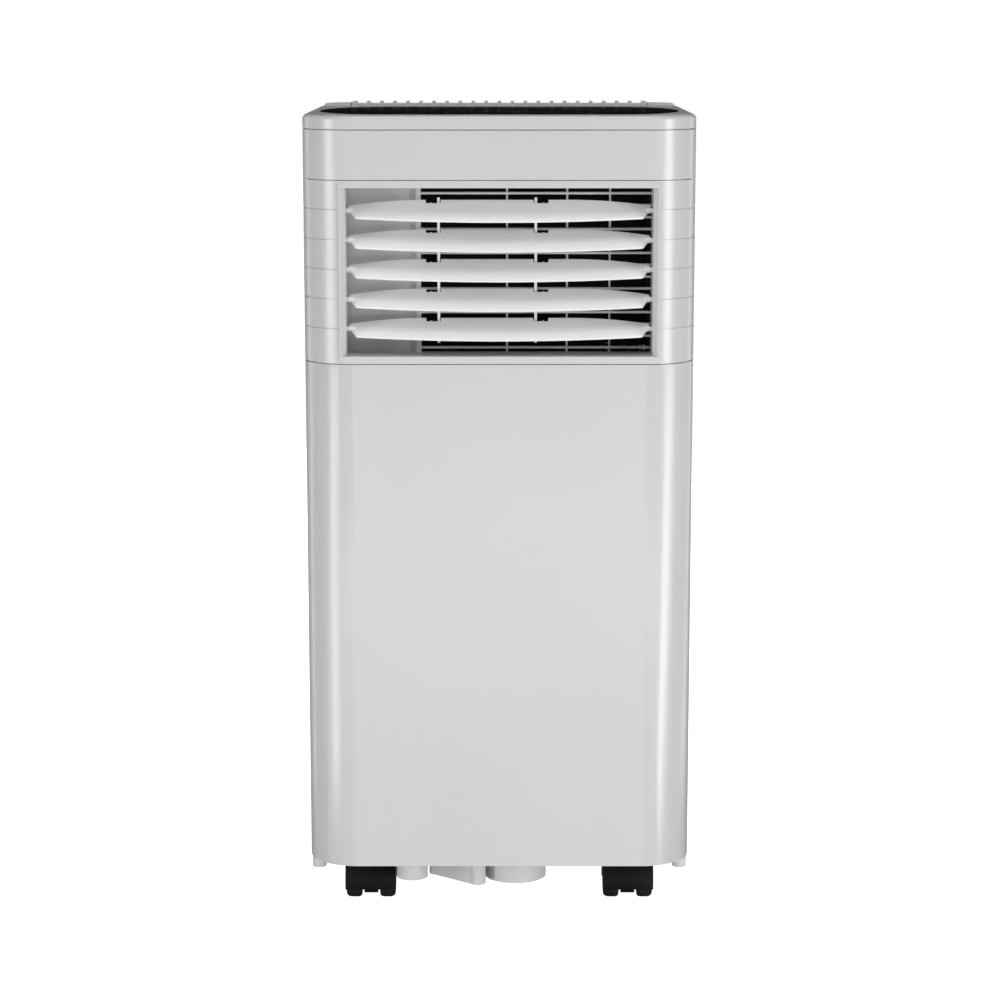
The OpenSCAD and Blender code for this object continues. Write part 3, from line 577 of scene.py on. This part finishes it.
def panel_seat():
    """Loops from the rim down into the panel's seat and back to the shell's underside."""
    ring = panel_outline(PANEL_GAP)
    lip_out, lip_down = PANEL_LIP
    return [at_height(panel_outline(PANEL_GAP + lip_out), RIM_Z),
            at_height(ring, RIM_Z - lip_down),
            at_height(ring, SEAT_Z),
            at_height(panel_outline(-SEAT_W), SEAT_Z),
            at_height(panel_outline(-SEAT_W), RING_Z + SHELL_RISE)]


def add_top_cover():
    """The ring, its rolled edge, and the flat rim, with a channel round the panel's bowl."""
    shape = Shape()
    channel = [channel_loop(distance * MM, depth * MM) for distance, depth in CHANNEL]
    shape.loft(rolled_edge() + channel + panel_seat(), capped=False)
    cover = shape.piece("top_cover_shell", "casing_white", "casing")
    cut_away(cover, (GRILLE_LO.x - GRILLE_GAP, GRILLE_LO.y - GRILLE_GAP, RING_Z - CUT_PAST),
             (GRILLE_HI.x + GRILLE_GAP, HALF_D + CUT_PAST, CREST_Z + CUT_PAST))
    keep_edges(cover, RIM_ANGLE)
    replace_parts(cover, "top_cover")


def add_crest(side):
    """The raised rear corner of the top on one side, level with the grille's front rail."""
    centre = (HALF_W - REAR_R, HALF_D - REAR_R)
    inner = GRILLE_LO.x - GRILLE_GAP if side < 0 else GRILLE_HI.x + GRILLE_GAP
    levels = [(CREST_INSET, RIM_Z - CREST_ROOT)]
    levels += [(inset, CREST_Z - drop * MM) for inset, drop in CREST_EDGE]
    loops = []
    for inset, z in levels:
        radius = REAR_R - inset * MM
        front = GRILLE_LO.y + (inset - CREST_INSET) * MM
        start = math.degrees(math.asin((front - centre[1]) / radius))
        edge = [(side * x, y) for x, y in arc(centre, radius, start, 90, CREST_STEPS)]
        loops.append(at_height(edge + [(inner, HALF_D - inset * MM), (inner, front)], z))
    shape = Shape()
    shape.loft(loops)
    shape.piece("rear_corner_crest_%s" % ("left" if side < 0 else "right"), "casing_white", "casing")


# ---------------------------------------------------------------- louvres

LOUVRES = ["louvre_%d" % n for n in range(1, 6)]
HINGE = {j["child"]: Vector(j["pos_m"]) for j in frame["joints"] if j["type"] == "hinge"}
LOUVRE_TILT = math.radians(40)
# A blade, measured from its pivot line
BLADE_HALF = CASE_HI.x - 39.5 * MM
BLADE_FRONT = 14.5 * MM
BLADE_REAR = 12 * MM
BLADE_BOW = 5 * MM
BLADE_T = 2 * MM
BLADE_CROWN = 0.5 * MM
NOSE_R = 1.0 * MM
NOSE_STEPS = 8
CHORD_STEPS = 7
TAIL_ROUND = 0.3 * MM
TAIL_T = 1.0 * MM
TAPER_L = 65 * MM            # length over which the rear edge curves in towards the tip
TAPER = 7 * MM
TIP_L = 6.5 * MM             # length over which the front edge curves in to the tip
TIP_CURVE_L = 6.3 * MM
TIP_FRONT = 2 * MM
TIP_DETAIL = 12 * MM         # length with close sections
SPAN_STEPS = 30
TIP_STEPS = 24
# The pivots, and the cranks that the two link bars join
PIVOT_R = 2 * MM
PIVOT_START = 5 * MM
PIVOT_END_GAP = 0.5 * MM
BOSS_R = 2.6 * MM
BOSS_START = 3.5 * MM
BOSS_END = 0.6 * MM
LINKS = [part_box("louvre_link_left"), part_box("louvre_link_right")]
LINK_GAP = 0.6 * MM
NOTCH_W = 12 * MM
NOTCH_Y = 8 * MM
NOTCH_EDGE = 0.4 * MM
EAR_T = 1.6 * MM
EAR_INSET = 3 * MM
CRANK = (11 * MM, -4 * MM)
CRANK_R = 1.1 * MM
CRANK_PAST = 0.8 * MM
# An ear's outline round the crank pin: (y, z) in mm, from the pivot line
EAR = ((4.0, -0.4), (7.8, -0.4), (12.4, -3.0), (13.0, -4.0), (12.4, -5.4), (11.0, -6.0), (9.6, -5.4))


def notch_span(i):
    """From where to where along X the blades are notched for link bar i."""
    lo, hi = LINKS[i]
    if i == 0:
        return hi.x + LINK_GAP - NOTCH_W, hi.x + LINK_GAP
    return lo.x - LINK_GAP, lo.x - LINK_GAP + NOTCH_W


def smooth_step(t):
    t = min(max(t, 0), 1)
    return t * t * (3 - 2 * t)


def blade_edges(x):
    """Front and rear edge of a blade at x, measured from its pivot line."""
    bow = BLADE_BOW * (x / BLADE_HALF) ** 2
    front, rear = -(BLADE_FRONT - bow), BLADE_REAR
    inset = BLADE_HALF - abs(x)
    if inset < TAPER_L:
        rear -= TAPER * (1 - inset / TAPER_L) ** 2
    if inset < TIP_L:
        front += (-TIP_FRONT - front) * smooth_step((TIP_L - inset) / TIP_CURVE_L)
    return front, rear


def blade_section(front, rear):
    """Outline of a blade across its width: a rounded nose, a slight crown and a thin tail."""
    nose = min(NOSE_R, (rear - front) / 4)
    points = arc((front + nose, 0), nose, 90, 270, NOSE_STEPS)
    lower, upper = [], []
    for i in range(1, CHORD_STEPS):
        u = i / CHORD_STEPS
        y = front + nose + (rear - front - nose) * u
        crown = BLADE_CROWN * math.sin(math.pi * u)
        lower.append((y, -BLADE_T / 2 + crown * 0.6))
        upper.append((y, BLADE_T / 2 + crown))
    corner_z = BLADE_T / 2 - 0.1 * MM
    tail = [(rear - TAIL_ROUND, -corner_z), (rear, -TAIL_T / 2),
            (rear, TAIL_T / 2), (rear - TAIL_ROUND, corner_z)]
    return points + lower + tail + upper[::-1]


def blade_stations():
    """Places along a blade for its sections: close together at its ends and notches."""
    stations = {0.0}
    stations |= {BLADE_HALF * i / SPAN_STEPS for i in range(1, SPAN_STEPS)}
    stations |= {BLADE_HALF - TIP_DETAIL * i / TIP_STEPS for i in range(1, TIP_STEPS + 1)}
    stations.add(BLADE_HALF)
    stations |= {-x for x in stations}
    for i in (0, 1):
        for edge in notch_span(i):
            stations |= {edge - NOTCH_EDGE, edge, edge + NOTCH_EDGE}
    return sorted(stations)


def in_notch(x):
    return any(a - NOTCH_EDGE / 4 < x < b + NOTCH_EDGE / 4 for a, b in (notch_span(0), notch_span(1)))


def add_blade(name):
    """One louvre: its blade, its two pivots, and the ears that the link bars join."""
    pivot = HINGE[name]
    turn = Matrix.Rotation(LOUVRE_TILT, 3, "X")

    def place(x, y, z):
        return tuple(pivot + turn @ Vector((x, y, z)))

    shape = Shape()
    loops = []
    for x in blade_stations():
        front, rear = blade_edges(x)
        rear = NOTCH_Y if in_notch(x) else rear
        loops.append([place(x, y, z) for y, z in blade_section(front, rear)])
    shape.loft(loops)
    lo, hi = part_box(name)
    for side, pin_end in ((-1, -lo.x), (1, hi.x)):
        shape.rod(place(side * (BLADE_HALF - PIVOT_START), 0, 0),
                  place(side * (pin_end - PIVOT_END_GAP), 0, 0), PIVOT_R, 20)
        shape.rod(place(side * (BLADE_HALF - BOSS_START), 0, 0),
                  place(side * (BLADE_HALF + BOSS_END), 0, 0), BOSS_R, 24)
    for i, (link_lo, link_hi) in enumerate(LINKS):
        start, end = notch_span(i)
        ear = start + EAR_INSET if i == 0 else end - EAR_INSET - EAR_T
        shape.loft([[place(x, y * MM, z * MM) for y, z in EAR] for x in (ear, ear + EAR_T)])
        pin = (ear, link_hi.x + CRANK_PAST) if i == 0 else (link_lo.x - CRANK_PAST, ear + EAR_T)
        shape.rod(place(pin[0], *CRANK), place(pin[1], *CRANK), CRANK_R, 16)
    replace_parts(shape.piece(name + "_blade", "louvre_white", name), name)


# ---------------------------------------------------------------- casters

WHEEL_INNER_X = 8 * MM
WHEEL_SIDES = 72
AXLE_R = 2.5 * MM
AXLE_HALF = 9 * MM
# A wheel's profile in mm. Each tread point is (depth below the wheel's radius, distance out), and
# each hub point is (radius, distance out).
OUTER_TREAD = ((0.0, 3.4), (0.0, 9.2), (0.35, 11.0), (1.2, 12.5), (2.4, 13.3),
               (3.6, 13.5), (5.2, 13.5), (5.9, 12.9), (6.3, 11.8))
HUB = ((5.2, 11.2), (4.6, 11.5), (4.3, 12.4), (3.4, 12.8), (0.05, 12.9), (0.05, 0.4))
INNER_TREAD = ((4.0, 0.2), (2.6, 0.0), (1.2, 0.3), (0.35, 1.4))


def add_wheels(place):
    """Two nylon wheels with rounded treads and dished hubs, on one axle."""
    node = "caster_%s_wheels" % place
    lo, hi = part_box(node)
    centre = (lo + hi) / 2
    r = (hi.z - lo.z) / 2
    profile = ([(r - depth * MM, out) for depth, out in OUTER_TREAD]
               + [(radius * MM, out) for radius, out in HUB]
               + [(r - depth * MM, out) for depth, out in INNER_TREAD])
    shape = Shape()
    for side in (-1, 1):
        shape.turned([(radius, side * (WHEEL_INNER_X + out * MM)) for radius, out in profile],
                     centre, WHEEL_SIDES)
    half = Vector((AXLE_HALF, 0, 0))
    shape.rod(centre - half, centre + half, AXLE_R, 24)
    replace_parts(shape.piece(node + "_pair", "wheel_black", node), node)


add_top_cover()
for crest_side in (-1, 1):
    add_crest(crest_side)
for louvre_name in LOUVRES:
    add_blade(louvre_name)
for caster_place in CASTERS:
    add_wheels(caster_place)

# ---------------------------------------------------------------- studio

AMBIENT_FRONT = 0.28         # surround light from the front, the sides and the back
AMBIENT_SIDE = 0.05
AMBIENT_BACK = 0.0
BACK_FROM = 0.85             # share of the way round where the back's light starts
MIDDLE = Vector((0, 0, 0.35))        # the point that the lights face
FLOOR_HALF = 14.0
SOFT_BOX = (0.60, 2.6)       # width and height of the lights
FLOOR_STRIP = (2.0, 0.3)
TOP_BOX = (1.4, 0.8)
BACK_BOX = (1.0, 2.2)
EDGE_STRIP = (0.25, 2.4)


def add_world():
    """White where the camera sees it. The light on the object fades from front to back."""
    world = bpy.data.worlds.new("studio")
    bpy.context.scene.world = world
    world.use_nodes = True
    tree = world.node_tree
    tree.nodes.clear()
    new, link = tree.nodes.new, tree.links.new
    out = new("ShaderNodeOutputWorld")
    path = new("ShaderNodeLightPath")
    mix = new("ShaderNodeMixShader")
    lit = new("ShaderNodeBackground")
    seen = new("ShaderNodeBackground")
    seen.inputs["Color"].default_value = (1, 1, 1, 1)
    direction = new("ShaderNodeTexCoord")
    split = new("ShaderNodeSeparateXYZ")
    ramp = new("ShaderNodeValToRGB")
    facing = new("ShaderNodeMapRange")
    facing.inputs["From Min"].default_value = -1.0
    facing.inputs["From Max"].default_value = 1.0
    link(direction.outputs["Generated"], split.inputs["Vector"])
    link(split.outputs["Y"], facing.inputs["Value"])
    link(facing.outputs["Result"], ramp.inputs["Fac"])
    stops = ramp.color_ramp.elements
    stops[0].position = 0.0
    stops[0].color = (AMBIENT_FRONT,) * 3 + (1,)
    stops[1].position = BACK_FROM
    stops[1].color = (AMBIENT_BACK,) * 3 + (1,)
    side = stops.new(0.5)
    side.color = (AMBIENT_SIDE,) * 3 + (1,)
    link(ramp.outputs["Color"], lit.inputs["Color"])
    link(path.outputs["Is Camera Ray"], mix.inputs["Fac"])
    link(lit.outputs["Background"], mix.inputs[1])
    link(seen.outputs["Background"], mix.inputs[2])
    link(mix.outputs["Shader"], out.inputs["Surface"])


def add_light(name, azimuth, distance, height, size, radiance, glossy=True):
    """A soft box that faces the object. Azimuth is in degrees: 0 is in front, 90 is to the right."""
    data = bpy.data.lights.new(name, "AREA")
    data.shape = "RECTANGLE"
    data.size, data.size_y = size
    data.energy = radiance * size[0] * size[1] * math.pi
    light = bpy.data.objects.new(name, data)
    turn = math.radians(azimuth)
    place = Vector((distance * math.sin(turn), -distance * math.cos(turn), height))
    light.location = place
    light.rotation_euler = (MIDDLE - place).to_track_quat("-Z", "Y").to_euler()
    light.visible_camera = False
    light.visible_glossy = glossy
    bpy.context.scene.collection.objects.link(light)


def add_floor():
    """A pale floor that takes the object's shadow, but throws no light back on it."""
    bm = bmesh.new()
    bmesh.ops.create_grid(bm, x_segments=1, y_segments=1, size=FLOOR_HALF)
    mesh = bpy.data.meshes.new("floor")
    bm.to_mesh(mesh)
    bm.free()
    floor = bpy.data.objects.new("floor", mesh)
    bpy.context.scene.collection.objects.link(floor)
    n = Nodes("floor_white")
    n.set("Base Color", n.mix(n.noise(3.0, 2.0), (0.90, 0.90, 0.90), (0.92, 0.92, 0.92)))
    n.set("Roughness", 0.9)
    n.set("Specular IOR Level", 0.0)
    n.set("Emission Color", (1.0, 1.0, 1.0))
    n.set("Emission Strength", 1.0)
    floor.data.materials.append(n.material)
    floor.visible_diffuse = False
    floor.visible_glossy = False
    floor.visible_shadow = False


add_world()
add_floor()
add_light("soft_box_left", -54, 2.2, 0.05, SOFT_BOX, 6.0)
add_light("soft_box_right", 52, 2.2, 0.05, SOFT_BOX, 7.8)
add_light("floor_bounce", 0, 1.6, 0.03, FLOOR_STRIP, 2.0)
add_light("overhead", 0, 0.9, 2.4, TOP_BOX, 3.4)
add_light("back_left", -158, 2.2, 0.9, BACK_BOX, 3.0, glossy=False)
add_light("back_right", 158, 2.2, 0.9, BACK_BOX, 3.4, glossy=False)
add_light("back_edge_left", -122, 2.2, 0.3, EDGE_STRIP, 3.0)
add_light("back_edge_right", 122, 2.2, 0.3, EDGE_STRIP, 3.0)
view = bpy.context.scene.view_settings
view.view_transform = "Standard"
view.look = "None"
view.exposure = 0.0
view.gamma = 1.0
